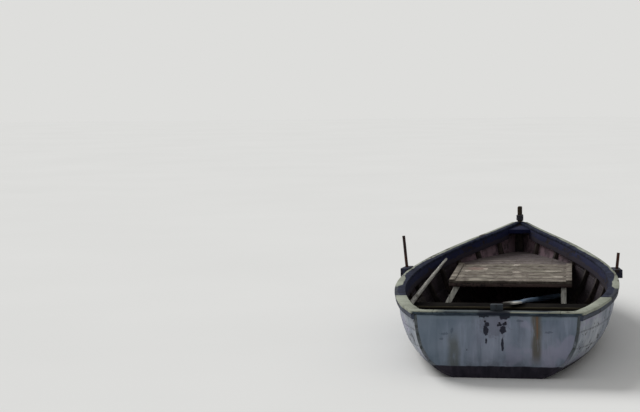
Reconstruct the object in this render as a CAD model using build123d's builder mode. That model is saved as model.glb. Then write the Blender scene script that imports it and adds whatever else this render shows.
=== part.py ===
from build123d import *
import os
from collections import namedtuple
from math import ceil, cos, hypot, radians, sin, tan

os.makedirs("parts", exist_ok=True)

# Small carvel-planked rowing boat with a transom stern, in millimetres.
# +X is starboard, +Y the bow and +Z up. The origin is amidships on the centreline, at the waterline.
# "Along" means the distance forward from the top of the transom.

# Fits
FIT = 0.3  # clearance between two timbers that seat on each other
SEAM = 0.4  # open seam between two strakes
BED = 0.5  # bedding between the transom and the planking round it
RAIL_FIT = 0.6  # clearance behind a rail that is sprung along the side frames

# Hull lines, one row for each station from the transom forward
STATION_PITCH = 350
MIDSHIP = 2100
BILGE_FULLNESS = 0.76  # how far the bilge curve is pulled into its corner
CURVE_STEPS = 48
Station = namedtuple("Station", "half_beam sheer rabbet corner_out corner_up")
LINES = (
    Station(520, 415, -35, 505, -20),
    Station(620, 407, -66, 590, -46),
    Station(690, 398, -92, 668, -70),
    Station(744, 393, -110, 718, -86),
    Station(776, 392, -122, 738, -96),
    Station(782, 396, -128, 736, -100),
    Station(764, 404, -131, 708, -100),
    Station(716, 417, -131, 650, -97),
    Station(638, 436, -127, 558, -90),
    Station(530, 461, -118, 436, -79),
    Station(392, 493, -102, 290, -62),
    Station(220, 532, -72, 138, -30),
)
LAST_BAY = 350  # from the last station to the bow at the sheer
BOW_ALONG = (len(LINES) - 1) * STATION_PITCH + LAST_BAY
BOW_SHEER = 578
FOREFOOT = -20
STEM_REACH = 140  # how far the stem runs forward between forefoot and sheer
TRANSOM_RAKE = 8

# Planking and backbone
STRAKES = 7
PLANK = 16
KEEL_SIDING = 60
KEEL_PROUD = 55
SKEG_SIDING = 40
SKEG_FOOT = -186
SKEG_STATIONS = 5
STEM_MOULD = 66
CUTWATER = 40
HEAD_HEIGHT = 138
HEAD_MOULD = 62
HEAD_CHAMFER = 7
APRON_MOULD = 50
TRANSOM_THICK = 26
POST_SIDING = 78
POST_MOULD = 42
POST_PROUD = 42
POST_CHAMFER = 4
KNEE_SIDING = 38
KNEE_THROAT = 230
KNEE_HEIGHT = 210
KNEE_TIP = 30

# Framing
FRAME_SIDING = 30
FRAME_DEPTH = 42
FRAME_HEAD = 20
TAPERED_STRAKES = 3  # the side frames taper along the uppermost of these to their heads
FRAMED_STRAKES = 5  # a side frame reaches down to the lowest of these, beside its floor timber
FRAME_STATIONS = range(1, 12)
FLOOR_MOULD = 44
FLOOR_TIP = 18
SOLE = -48  # level top of the floor timbers amidships

# Rails
CAP_THICK = 20
CAP_OUT = 22
CAP_LIP = 4
CAP_JOINT = 1
RUB_THICK = 20
RUB_DEEP = 34
INWALE_THICK = 14
INWALE_DEEP = 80
STERN_CAP_AFT = 20
STERN_CAP_WIDE = 86
QUARTER_LONG = 230
QUARTER_ARM = 400  # where the quarter boards meet the transom cap, from the centreline
QUARTER_ROUND = 95
QUARTER_THROAT = 60
HOOK_LONG = 210  # from the breasthook's after edge to the bow
HOOK_THICK = 36

# Inside
RISER_TOP = 225
RISER_DEEP = 40
RISER_THICK = 18
THWART_ALONG = 1400
THWART_WIDE = 200
THWART_THICK = 25
SEAT_ALONG = 112
SEAT_BOARD = 136
SEAT_GAP = 8
SEAT_BOARDS = 3
SEAT_THICK = 20
BOARD_WIDE = 94
BOARD_THICK = 15
BOARD_PITCH = 102
BOARDS = 5
BOARD_ALONG = (1010, 2795)

# Platform and foredeck
DECK_TOP = 350
DECK_THICK = 20
PLATFORM_PLAY = 9  # between the platform's forward corners and the side frames
PANEL_ALONG = 2060
PANEL_PLANKS = 6
PANEL_PITCH = 176
PLANK_GAP = 3
HEADER_DEEP = 26
HEADER_WIDE = 36
BEARER_X = 404
BEARER_WIDE = 40
BATTEN_WIDE = 44
BATTEN_THICK = 10
BEAM_DEEP = 50
BEAM_WIDE = 40
BEAMS = 4
FOREDECK_PLANKS = 6
FOREDECK_SHORT = 184  # from the foredeck's end to the bow
FOREDECK_OVERHANG = 11.5  # forward of the last beam
SHELF_THICK = 18
PROP_STATION = ceil(PANEL_ALONG / STATION_PITCH)  # the first under the platform; its frames hold the props
PROP_WIDE = 40
PROP_LEAN = 29  # the port prop has been set aslant, its foot outboard

# Tholes
THOLE_ALONG = 2190
THOLE_LONG = 170
THOLE_OUT = 58
THOLE_DEEP = 62
THOLE_PROUD = 8
THOLE_LEAN = 5.5
PIN_RADIUS = 11.5
PIN_TAIL_RADIUS = 9.5
PIN_TAIL = 18
PORT_PIN = 245
STARBOARD_PIN = 120

# Oar and pole
OAR_LONG = 1850
OAR_BLADE = 450
OAR_BLADE_HALF = 46
OAR_BLADE_THICK = 12
OAR_GRIP = 14
OAR_LOOM = 21
OAR_NECK = 15
OAR_GRIP_LONG = 140
OAR_SHOULDER = 90
OAR_TIP_ROUND = 15
OAR_RIDGE = 9.9  # half the blade's thickness where it lies on the thwart
OAR_X = 90
OAR_END = 3080
OAR_LOW = 100
OAR_SUNK = 0.9  # the grip's rim meets the planks aslant, so its middle lies closer
POLE_LONG = 1500
POLE_BUTT = 19
POLE_TIP = 10
POLE_X = 690
POLE_END = 2857
POLE_UNDER_CAP = 20
POLE_GAP = 1.2  # the tip's rim meets the inwale aslant, so its middle lies further off
REST_GAP = 0.6  # between a spar and the thwart


# Geometry shared by the pieces

def between(a, b, share):
    """Point that lies a share of the way from a to b."""
    return tuple(p + (q - p) * share for p, q in zip(a, b))


def bezier(ends, handles, share):
    """Point on the cubic curve between two ends."""
    low, high = between(ends[0], handles[0], share), between(handles[1], ends[1], share)
    middle = between(handles[0], handles[1], share)
    return between(between(low, middle, share), between(middle, high, share), share)


def divide(path, count):
    """Points that split a path into equal lengths."""
    reach = [0]
    for a, b in zip(path, path[1:]):
        reach.append(reach[-1] + hypot(b[0] - a[0], b[1] - a[1]))
    points = []
    for n in range(count + 1):
        want = reach[-1] * n / count
        step = max(j for j in range(len(path) - 1) if reach[j] <= want)
        share = (want - reach[step]) / (reach[step + 1] - reach[step])
        points.append(between(path[step], path[step + 1], share))
    return points


def inset(chain, depths):
    """Moves a section's chain inboard. Its foot stays beside the keel and its head at the sheer."""
    normals = []
    for a, b in zip(chain, chain[1:]):
        length = hypot(b[0] - a[0], b[1] - a[1])
        normals.append(((a[1] - b[1]) / length, (b[0] - a[0]) / length))
    moved = [(chain[0][0], chain[0][1] + depths[0] / normals[0][1])]
    for point, depth, before, after in zip(chain[1:], depths[1:], normals, normals[1:]):
        share = depth / (1 + before[0] * after[0] + before[1] * after[1])
        moved.append((point[0] + (before[0] + after[0]) * share, point[1] + (before[1] + after[1]) * share))
    moved.append((chain[-1][0] + depths[-1] / normals[-1][0], chain[-1][1]))
    return moved


BOW_Y = BOW_ALONG - MIDSHIP
HOOK_Y = BOW_Y - HOOK_LONG


def station_y(index):
    return index * STATION_PITCH - MIDSHIP


def section(row):
    """Outer chain of a station, from the keel to the sheer, with one corner at each seam."""
    foot, head = (KEEL_SIDING / 2 + FIT, row.rabbet), (row.half_beam, row.sheer)
    corner = (row.corner_out, row.corner_up)
    handles = between(foot, corner, BILGE_FULLNESS), between(head, corner, BILGE_FULLNESS)
    return divide([bezier((foot, head), handles, n / CURVE_STEPS) for n in range(CURVE_STEPS + 1)], STRAKES)


def transom_y(height):
    """The transom leans aft, so it stands further forward lower down."""
    return tan(radians(TRANSOM_RAKE)) * (LINES[0].sheer - height) - MIDSHIP


def stem_y(height):
    """The line that the planks end on at the stem."""
    drop = (BOW_SHEER - height) / (BOW_SHEER - FOREFOOT)
    return BOW_Y - STEM_REACH * max(drop, 0) ** 2


def hood_y(height):
    """The same line on the planks' straight edges, between one seam and the next."""
    return reach_at([(corner[1], corner[2]) for corner in OUTER[-1]], height)


def skin(depth):
    """Corners of every station at a depth inside the planking, as rows of (x, y, z)."""
    rows = []
    for index, row in enumerate(LINES):
        chain = inset(section(row), [depth] * (STRAKES + 1))
        rows.append([(x, transom_y(z) if index == 0 else station_y(index), z) for x, z in chain])
    heights = [FOREFOOT + (BOW_SHEER - FOREFOOT) * k / STRAKES for k in range(STRAKES + 1)]
    rows.append([(KEEL_SIDING / 2 + FIT + PLANK - depth, stem_y(z), z) for z in heights])
    return rows


OUTER = skin(0)
INNER = skin(PLANK)


def across(rows, y):
    """Chain of (x, z) where the seams of a skin pass through the plane at y."""
    chain = []
    for seam in zip(*rows):
        bay = max([j for j in range(len(seam) - 1) if seam[j][1] <= y], default=0)
        a, b = seam[bay], seam[bay + 1]
        x, _, z = between(a, b, (y - a[1]) / (b[1] - a[1]))
        chain.append((x, z))
    return chain


def reach_at(chain, height):
    """How far out a chain is at a height."""
    for a, b in zip(chain, chain[1:]):
        if height <= b[1]:
            break
    return between(a, b, (height - a[1]) / (b[1] - a[1]))[0]


def rise_at(chain, out):
    """How high a chain is at a distance from the centreline."""
    return reach_at([(z, x) for x, z in chain], out)


def planking(y, gap):
    """Chain of the planks' inner faces at y, moved inboard by a gap."""
    return inset(across(INNER, y), [gap] * (STRAKES + 1))


TAPERED_SHARES = [max(1 - (STRAKES - k) / TAPERED_STRAKES, 0) for k in range(STRAKES + 1)]
FRAME_DEPTHS = [FRAME_DEPTH + (FRAME_HEAD - FRAME_DEPTH) * share for share in TAPERED_SHARES]


def frame_faces(y):
    """Outer and inner chain of a side frame at y."""
    outside = planking(y, FIT)
    return outside, inset(outside, FRAME_DEPTHS)


def clear_half(y, height):
    """Half width that is free between the side frames at a height."""
    return reach_at(frame_faces(y)[1], height) - FIT


def sheer_at(y):
    return across(OUTER, y)[-1][1]


def half_beam_at(y):
    return across(OUTER, y)[-1][0]


def cuts(start, end):
    """Places along the boat from start to end, with every station between them."""
    return [start, *[station_y(n) for n in range(len(OUTER)) if start < station_y(n) < end], end]


def frame_cuts(start, end):
    """The same places with both faces of each side frame, for what lies against the frames."""
    faces = [station_y(n) + step for n in range(len(OUTER)) for step in (0, FIT + FRAME_SIDING)]
    return [start, *[y for y in faces if start < y < end], end]


def ring(corners):
    """Sketch of one closed ring of corners, on the plane that it lies in, which holds the X direction."""
    first = corners[0]
    far = max(corners, key=lambda c: hypot(c[1] - first[1], c[2] - first[2]))
    rise = Vector(0, far[1] - first[1], far[2] - first[2])
    if rise.Z < 0 or (rise.Z == 0 and rise.Y < 0):
        rise = rise * -1
    plane = Plane(origin=(0, first[1], first[2]), x_dir=(1, 0, 0), z_dir=Vector(1, 0, 0).cross(rise))
    with BuildSketch(plane) as outline:
        with BuildLine():
            Polyline(*[plane.to_local_coords(Vector(*corner)) for corner in corners], close=True)
        make_face()
    return outline.sketch


def timber(rings):
    """One straight-ruled solid through a row of rings."""
    loft([ring(corners) for corners in rings], ruled=True)


def upright(points, y, side=1):
    """Section points (x, z) as corners on the plane at y."""
    return [(side * x, y, z) for x, z in points]


def oblong(x, z):
    """Section points of an upright rectangle between two values of x and of z."""
    return [(x[0], z[0]), (x[1], z[0]), (x[1], z[1]), (x[0], z[1])]


def symmetric(points):
    """Starboard points and their port images, as one ring across the centreline."""
    return points + [(-x, z) for x, z in reversed(points)]


def block(x, y, z, mode=Mode.ADD):
    """Straight-edged solid between two values of x, y and z."""
    with BuildSketch(Plane.XY.offset(z[0])) as base:
        with Locations(((x[0] + x[1]) / 2, (y[0] + y[1]) / 2)):
            Rectangle(x[1] - x[0], y[1] - y[0])
    extrude(base.sketch, amount=z[1] - z[0], mode=mode)


def finish(piece, name):
    """Names a finished piece and writes it."""
    piece.part.label = name
    export_step(piece.part, f"parts/{name}.step")


# Planking: seven strakes a side, ruled from station to station

STRAKE_NAMES = ("garboards", "strakes_2", "strakes_3", "strakes_4", "strakes_5", "strakes_6", "sheer_strakes")


def strake_ring(index, k):
    """Cross-section of strake k at a station, its lower edge one seam above the strake below."""
    corners = []
    for rows, order in ((OUTER, (k, k + 1)), (INNER, (k + 1, k))):
        low, high = rows[index][k], rows[index][k + 1]
        length = hypot(high[0] - low[0], high[1] - low[1], high[2] - low[2])
        raised = between(low, high, SEAM / length)
        corners += [raised if seam == k else high for seam in order]
    return corners


for k, name in enumerate(STRAKE_NAMES):
    with BuildPart() as strake:
        timber([strake_ring(index, k) for index in range(len(OUTER))])
        mirror(about=Plane.YZ)
    finish(strake, name)

# Backbone

STEM_HALF = KEEL_SIDING / 2 + FIT + PLANK
HEEL_Y = stem_y(FOREFOOT)

with BuildPart() as keel:
    rings = []
    for index, row in enumerate(OUTER[:-1]):
        top, bottom = INNER[index][0][2], LINES[index].rabbet - KEEL_PROUD
        corners = oblong((-KEEL_SIDING / 2, KEEL_SIDING / 2), (bottom, top))
        rings.append([(x, transom_y(z) if index == 0 else station_y(index), z) for x, z in corners])
    toe = oblong((-KEEL_SIDING / 2, KEEL_SIDING / 2), (FOREFOOT - KEEL_PROUD, FOREFOOT + PLANK))
    rings.append(upright(toe, HEEL_Y))
    timber(rings)
finish(keel, "keel")

with BuildPart() as skeg:
    with BuildSketch(Plane.YZ.offset(-SKEG_SIDING / 2)):
        with BuildLine():
            roof = [(transom_y(LINES[0].rabbet - KEEL_PROUD), LINES[0].rabbet - KEEL_PROUD - FIT)]
            for index in range(1, SKEG_STATIONS):
                roof.append((station_y(index), LINES[index].rabbet - KEEL_PROUD - FIT))
            Polyline(*roof, (roof[-1][0], SKEG_FOOT), (transom_y(SKEG_FOOT), SKEG_FOOT), close=True)
        make_face()
    extrude(amount=SKEG_SIDING)
finish(skeg, "skeg")

with BuildPart() as stem:
    heights = [FOREFOOT - KEEL_PROUD] + [corner[2] for corner in OUTER[-1]] + [BOW_SHEER + CAP_THICK]
    rings = []
    for z in heights:
        back = max(stem_y(z), HEEL_Y) + FIT
        front = stem_y(z) + STEM_MOULD
        half = CUTWATER / 2
        rings.append([(-STEM_HALF, back, z), (STEM_HALF, back, z), (half, front, z), (-half, front, z)])
    timber(rings)
    head_y = stem_y(BOW_SHEER) + FIT
    head_z = BOW_SHEER + CAP_THICK
    block((-CUTWATER / 2, CUTWATER / 2), (head_y, head_y + HEAD_MOULD), (head_z, head_z + HEAD_HEIGHT))
    chamfer(stem.faces().sort_by(Axis.Z)[-1].edges(), HEAD_CHAMFER)
finish(stem, "stem")

with BuildPart() as apron:
    half = KEEL_SIDING / 2
    rings = []
    for z in [FOREFOOT + PLANK + FIT] + [corner[2] for corner in OUTER[-1][1:]]:
        front, back = hood_y(z), hood_y(z) - APRON_MOULD
        low = min(z, sheer_at(back)) - FIT  # the top follows the sheer under the cap
        rings.append([(-half, back, low), (half, back, low), (half, front, z - FIT), (-half, front, z - FIT)])
    timber(rings)
finish(apron, "apron")

# Transom, its post and knee

RAKE = radians(TRANSOM_RAKE)


def transom_ring(depth):
    """Outline of the transom on its raked plane, a depth forward of its aft face."""
    points = []
    for low, high in zip(INNER[0], INNER[1]):
        run = high[1] - low[1] + tan(RAKE) * (high[2] - low[2])
        x, _, z = between(low, high, depth / cos(RAKE) / run)
        points.append((x, z))
    outline = symmetric(inset(points, [BED] * len(points)))
    return [(x, transom_y(z) + depth / cos(RAKE), z) for x, z in outline]


with BuildPart() as transom:
    timber([transom_ring(0), transom_ring(TRANSOM_THICK)])
finish(transom, "transom")

POST_BACK = (TRANSOM_THICK + FIT) / cos(RAKE)
POST_FRONT = POST_BACK + POST_MOULD / cos(RAKE)
STERN_SHEER = LINES[0].sheer
POST_FOOT = rise_at(across(INNER, transom_y(INNER[0][0][2]) + POST_BACK), POST_SIDING / 2) + BED


def post_ring(z):
    half = POST_SIDING / 2
    back, front = transom_y(z) + POST_BACK, transom_y(z) + POST_FRONT
    return [(-half, back, z), (half, back, z), (half, front, z), (-half, front, z)]


with BuildPart() as sternpost:
    timber([post_ring(POST_FOOT), post_ring(STERN_SHEER + CAP_THICK + POST_PROUD)])
    chamfer(sternpost.faces().sort_by(Axis.Z)[-1].edges(), POST_CHAMFER)
finish(sternpost, "sternpost")

with BuildPart() as stern_knee:
    with BuildSketch(Plane.YZ.offset(-KNEE_SIDING / 2)):
        with BuildLine():
            back = transom_y(POST_FOOT) + POST_FRONT + FIT
            toe_y = station_y(1) - FRAME_SIDING - FIT
            toe_z = across(INNER, toe_y)[0][1] + FIT
            top_z = POST_FOOT + KNEE_HEIGHT
            top_y = transom_y(top_z) + POST_FRONT + FIT
            base = Polyline((top_y, top_z), (back, POST_FOOT), (toe_y, toe_z), (toe_y, toe_z + KNEE_TIP))
            crown = Line((top_y, top_z), (top_y + KNEE_TIP, top_z))
            RadiusArc(crown @ 1, base @ 1, -KNEE_THROAT)
        make_face()
    extrude(amount=KNEE_SIDING)
finish(stern_knee, "stern_knee")

# Framing: sawn frames on every station, each a floor timber with a side frame lapped to either end

with BuildPart() as floor_timbers:
    for index in FRAME_STATIONS:
        rings = []
        for y in (station_y(index) - FRAME_SIDING, station_y(index)):
            chain = planking(y, FIT)
            top = max(SOLE, chain[0][1] + FLOOR_MOULD)
            tip = top - FLOOR_TIP
            under = [point for point in chain if point[1] < tip]
            end = (reach_at(chain, tip), tip)
            rings.append(upright(symmetric(under + [end, (end[0], top)]), y))
        timber(rings)
finish(floor_timbers, "floor_timbers")


def side_frames(side):
    """The side frames of one side, each on the forward face of its floor timber."""
    for index in FRAME_STATIONS:
        rings = []
        for y in (station_y(index) + FIT, station_y(index) + FIT + FRAME_SIDING):
            framed = range(STRAKES - FRAMED_STRAKES, STRAKES + 1)
            outside, inside = [[chain[k] for k in framed] for chain in frame_faces(y)]
            rings.append(upright(outside + inside[::-1], y, side))
        timber(rings)


with BuildPart() as frames_port:
    side_frames(-1)
finish(frames_port, "frames_port")

with BuildPart() as frames_starboard:
    side_frames(1)
finish(frames_starboard, "frames_starboard")

# Rails

CAP_IN = PLANK + FIT + FRAME_HEAD + RAIL_FIT + INWALE_THICK + CAP_LIP


def cap_ring(y):
    """Cross-section of the gunwale cap, closing on the centreline at the stem."""
    beam, sheer = half_beam_at(y), sheer_at(y)
    inner = CAP_JOINT if y == BOW_Y else beam - CAP_IN
    return upright(oblong((inner, beam + CAP_OUT), (sheer, sheer + CAP_THICK)), y)


with BuildPart() as gunwale_caps:
    timber([cap_ring(y) for y in cuts(QUARTER_LONG + BED + FIT - MIDSHIP, BOW_Y)])
    mirror(about=Plane.YZ)
finish(gunwale_caps, "gunwale_caps")

# The stern's caps lie flat on the transom and on the after ends of the sheer strakes
STERN_SLOPE = Vector(0, STATION_PITCH, LINES[1].sheer - LINES[0].sheer)
STERN_DECK = Plane(
    origin=(0, -MIDSHIP, LINES[0].sheer), x_dir=(1, 0, 0), z_dir=Vector(1, 0, 0).cross(STERN_SLOPE)
)
STERN_INNER = STERN_CAP_WIDE - STERN_CAP_AFT

with BuildPart() as quarter_boards:
    with BuildSketch(STERN_DECK):
        joint = QUARTER_LONG * STERN_SLOPE.length / STATION_PITCH
        outer_fore = half_beam_at(QUARTER_LONG - MIDSHIP) + CAP_OUT
        inner_fore = half_beam_at(QUARTER_LONG - MIDSHIP) - CAP_IN
        outer_aft = half_beam_at(-STERN_CAP_AFT - MIDSHIP) + CAP_OUT
        inner_aft = half_beam_at(STERN_INNER - MIDSHIP) - CAP_IN
        with BuildLine():
            Polyline(
                (QUARTER_ARM, -STERN_CAP_AFT),
                (outer_aft, -STERN_CAP_AFT),
                (outer_fore, joint),
                (inner_fore, joint),
                (inner_aft, STERN_INNER),
                (QUARTER_ARM, STERN_INNER),
                close=True,
            )
        make_face()
        fillet(vertices().sort_by_distance((outer_aft, -STERN_CAP_AFT))[0], QUARTER_ROUND)
        fillet(vertices().sort_by_distance((inner_aft, STERN_INNER))[0], QUARTER_THROAT)
    extrude(amount=CAP_THICK)
    mirror(about=Plane.YZ)
finish(quarter_boards, "quarter_boards")

with BuildPart() as transom_cap:
    with BuildSketch(STERN_DECK):
        with Locations((0, STERN_INNER - STERN_CAP_WIDE / 2)):
            Rectangle(2 * (QUARTER_ARM - FIT), STERN_CAP_WIDE)
    extrude(amount=CAP_THICK)
    notch_back = transom_y(STERN_SHEER + CAP_THICK) + POST_BACK - FIT
    block(
        (-POST_SIDING / 2 - FIT, POST_SIDING / 2 + FIT),
        (notch_back, notch_back + STERN_CAP_WIDE),
        (STERN_SHEER - CAP_THICK, STERN_SHEER + 2 * CAP_THICK),
        mode=Mode.SUBTRACT,
    )
finish(transom_cap, "transom_cap")


def rub_ring(y):
    chain = across(OUTER, y)
    x, z = chain[-1]
    low, high = z - RUB_DEEP, z - FIT
    foot = reach_at(chain, low)
    return upright([(foot + FIT, low), (foot + RUB_THICK, low), (x + RUB_THICK, high), (x + FIT, high)], y)


with BuildPart() as rub_rails:
    timber([rub_ring(y) for y in cuts(SEAM - MIDSHIP, BOW_Y - SEAM)])
    mirror(about=Plane.YZ)
finish(rub_rails, "rub_rails")


def inside_rail(y, top, deep, thick):
    """Cross-section of a rail that lies against the inner faces of the side frames."""
    chain = frame_faces(y)[1]
    upper, lower = reach_at(chain, top) - RAIL_FIT, reach_at(chain, top - deep) - RAIL_FIT
    return upright([(lower, top - deep), (upper, top), (upper - thick, top), (lower - thick, top - deep)], y)


with BuildPart() as inwales:
    places = frame_cuts(POST_FRONT - MIDSHIP, HOOK_Y)
    timber([inside_rail(y, sheer_at(y) - FIT, INWALE_DEEP, INWALE_THICK) for y in places])
    mirror(about=Plane.YZ)
finish(inwales, "inwales")

with BuildPart() as breasthook:
    rings = []
    for y in (HOOK_Y + FIT, hood_y(BOW_SHEER - HOOK_THICK) - APRON_MOULD - FIT):
        top = sheer_at(y) - FIT
        corners = [(reach_at(planking(y, BED), z), z) for z in (top - HOOK_THICK, top)]
        rings.append(upright(symmetric(corners), y))
    timber(rings)
finish(breasthook, "breasthook")

# Risers, thwart and stern seat


def board_between_sides(start, end, z):
    """A board laid athwart whose ends follow the inner faces of the side frames."""
    rings = []
    for y in frame_cuts(start, end):
        corners = [(clear_half(y, height), height) for height in z]
        rings.append(upright(symmetric(corners), y))
    timber(rings)


with BuildPart() as risers:
    places = frame_cuts(transom_y(RISER_TOP) + POST_FRONT, PANEL_ALONG - MIDSHIP)
    timber([inside_rail(y, RISER_TOP, RISER_DEEP, RISER_THICK) for y in places])
    mirror(about=Plane.YZ)
finish(risers, "risers")

with BuildPart() as thwart:
    start = THWART_ALONG - MIDSHIP
    board_between_sides(start, start + THWART_WIDE, (RISER_TOP, RISER_TOP + THWART_THICK))
finish(thwart, "thwart")

with BuildPart() as stern_seat:
    for n in range(SEAT_BOARDS):
        start = SEAT_ALONG + n * (SEAT_BOARD + SEAT_GAP) - MIDSHIP
        board_between_sides(start, start + SEAT_BOARD, (RISER_TOP, RISER_TOP + SEAT_THICK))
finish(stern_seat, "stern_seat")

# Floorboards, loose on the floor timbers

with BuildPart() as floorboards:
    along = [distance - MIDSHIP for distance in BOARD_ALONG]
    for n in range(BOARDS):
        middle = (n - (BOARDS - 1) / 2) * BOARD_PITCH
        block((middle - BOARD_WIDE / 2, middle + BOARD_WIDE / 2), along, (SOLE, SOLE + BOARD_THICK))
finish(floorboards, "floorboards")

# Platform: six wide boards on a header, two bearers and the first deck beam

DECK_UNDER = DECK_TOP - DECK_THICK
PANEL_Y = PANEL_ALONG - MIDSHIP
PANEL_END = PANEL_Y + PANEL_PLANKS * PANEL_PITCH
FIRST_BEAM = PANEL_END - PLANK_GAP / 2 - BEAM_WIDE / 2
FOREDECK_END = BOW_Y - FOREDECK_SHORT
FOREDECK_PITCH = (FOREDECK_END - PANEL_END) / FOREDECK_PLANKS
BEAM_PITCH = (FOREDECK_END - FOREDECK_OVERHANG - BEAM_WIDE - FIRST_BEAM) / (BEAMS - 1)
DECK_HALF = clear_half(FIRST_BEAM, DECK_UNDER) - PLATFORM_PLAY

with BuildPart() as platform_planks:
    for n in range(PANEL_PLANKS):
        start = PANEL_Y + n * PANEL_PITCH
        block((-DECK_HALF, DECK_HALF), (start, start + PANEL_PITCH - PLANK_GAP), (DECK_UNDER, DECK_TOP))
finish(platform_planks, "platform_planks")

with BuildPart() as platform_header:
    block((-DECK_HALF, DECK_HALF), (PANEL_Y, PANEL_Y + HEADER_WIDE), (DECK_UNDER - HEADER_DEEP, DECK_UNDER))
finish(platform_header, "platform_header")

with BuildPart() as platform_bearers:
    inner_edge = BEARER_X - BEARER_WIDE / 2
    block(
        (inner_edge, inner_edge + BEARER_WIDE),
        (PANEL_Y + HEADER_WIDE + FIT, FIRST_BEAM - FIT),
        (DECK_UNDER - HEADER_DEEP, DECK_UNDER),
    )
    mirror(about=Plane.YZ)
finish(platform_bearers, "platform_bearers")

with BuildPart() as platform_battens:
    inner_edge = DECK_HALF - BATTEN_WIDE
    block((inner_edge, DECK_HALF), (PANEL_Y, PANEL_END - PLANK_GAP), (DECK_TOP, DECK_TOP + BATTEN_THICK))
    mirror(about=Plane.YZ)
finish(platform_battens, "platform_battens")

with BuildPart() as deck_beams:
    for n in range(BEAMS):
        start = FIRST_BEAM + n * BEAM_PITCH
        board_between_sides(start, start + BEAM_WIDE, (DECK_UNDER - BEAM_DEEP, DECK_UNDER))
finish(deck_beams, "deck_beams")

with BuildPart() as deck_shelves:
    shelf_top = DECK_UNDER - BEAM_DEEP
    shelf_end = FIRST_BEAM + (BEAMS - 1) * BEAM_PITCH + BEAM_WIDE
    places = frame_cuts(FIRST_BEAM - BEAM_WIDE, shelf_end)
    timber([inside_rail(y, shelf_top, RISER_DEEP, SHELF_THICK) for y in places])
    mirror(about=Plane.YZ)
finish(deck_shelves, "deck_shelves")

with BuildPart() as foredeck_planks:
    for n in range(FOREDECK_PLANKS):
        start = PANEL_END + n * FOREDECK_PITCH
        board_between_sides(start, start + FOREDECK_PITCH - PLANK_GAP, (DECK_UNDER, DECK_TOP))
finish(foredeck_planks, "foredeck_planks")

# Props between the bearers and a pair of side frames: the starboard one upright, the port one aslant

PROP_TOP = DECK_UNDER - HEADER_DEEP


def prop_ring(y, side, lean):
    """Section of a prop whose foot is cut to the side frame it stands on."""
    chain = inset(frame_faces(y)[1], [FIT] * (STRAKES + 1))
    half = PROP_WIDE / 2 / cos(radians(lean))
    corners = [(BEARER_X + half, PROP_TOP), (BEARER_X - half, PROP_TOP)]
    for top in (BEARER_X - half, BEARER_X + half):
        over = [x - top - (PROP_TOP - z) * tan(radians(lean)) for x, z in chain]
        k = max(j for j in range(STRAKES) if over[j] <= 0)
        corners.append(between(chain[k], chain[k + 1], over[k] / (over[k] - over[k + 1])))
    return upright(corners, y, side)


with BuildPart() as platform_props:
    for side, lean in ((1, 0), (-1, PROP_LEAN)):
        back = station_y(PROP_STATION) + FIT
        timber([prop_ring(y, side, lean) for y in (back, back + FRAME_SIDING)])
finish(platform_props, "platform_props")

# Tholes: a pin leaning outboard in a block on each gunwale

THOLE_Y = THOLE_ALONG - MIDSHIP
THOLE_X = half_beam_at(THOLE_Y) + CAP_OUT + THOLE_OUT / 2
THOLE_Z = sheer_at(THOLE_Y) + CAP_THICK + THOLE_PROUD


def thole_ring(y):
    inner = half_beam_at(y) + CAP_OUT + FIT
    return upright(oblong((inner, inner + THOLE_OUT), (THOLE_Z - THOLE_DEEP, THOLE_Z)), y)


def pin_plane(side):
    """Plane across a thole pin at the top of its block."""
    lean = radians(THOLE_LEAN) * side
    return Plane(origin=(side * THOLE_X, THOLE_Y, THOLE_Z), x_dir=(0, 1, 0), z_dir=(sin(lean), 0, cos(lean)))


with BuildPart() as thole_blocks:
    timber([thole_ring(y) for y in cuts(THOLE_Y - THOLE_LONG / 2, THOLE_Y + THOLE_LONG / 2)])
    with BuildSketch(pin_plane(1)) as bore:
        Circle(PIN_TAIL_RADIUS + FIT)
    extrude(bore.sketch, amount=2 * THOLE_DEEP, both=True, mode=Mode.SUBTRACT)
    mirror(about=Plane.YZ)
finish(thole_blocks, "thole_blocks")

PIN_SEAT = PIN_RADIUS * tan(radians(THOLE_LEAN)) + FIT  # keeps the leaning shoulder off the block

with BuildPart() as thole_pins:
    for side, exposed in ((-1, PORT_PIN), (1, STARBOARD_PIN)):
        with BuildSketch(pin_plane(side).offset(PIN_SEAT)) as shoulder:
            Circle(PIN_RADIUS)
        extrude(shoulder.sketch, amount=exposed)
        with BuildSketch(pin_plane(side).offset(PIN_SEAT)) as tail:
            Circle(PIN_TAIL_RADIUS)
        extrude(tail.sketch, amount=-(THOLE_DEEP + PIN_TAIL))
finish(thole_pins, "thole_pins")

# Oar and pole, stowed: the oar runs from the thwart in under the platform, the pole to the port inwale

THWART_TOP = RISER_TOP + THWART_THICK


def lying(end, rest):
    """Direction of a spar from its end through a point that it rests at, and a level plane along it."""
    run = (Vector(*rest) - Vector(*end)).normalized()
    sideways = run.cross(Vector(0, 0, 1)).normalized()
    return run, Plane(origin=end, x_dir=run, z_dir=sideways.cross(run))


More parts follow.
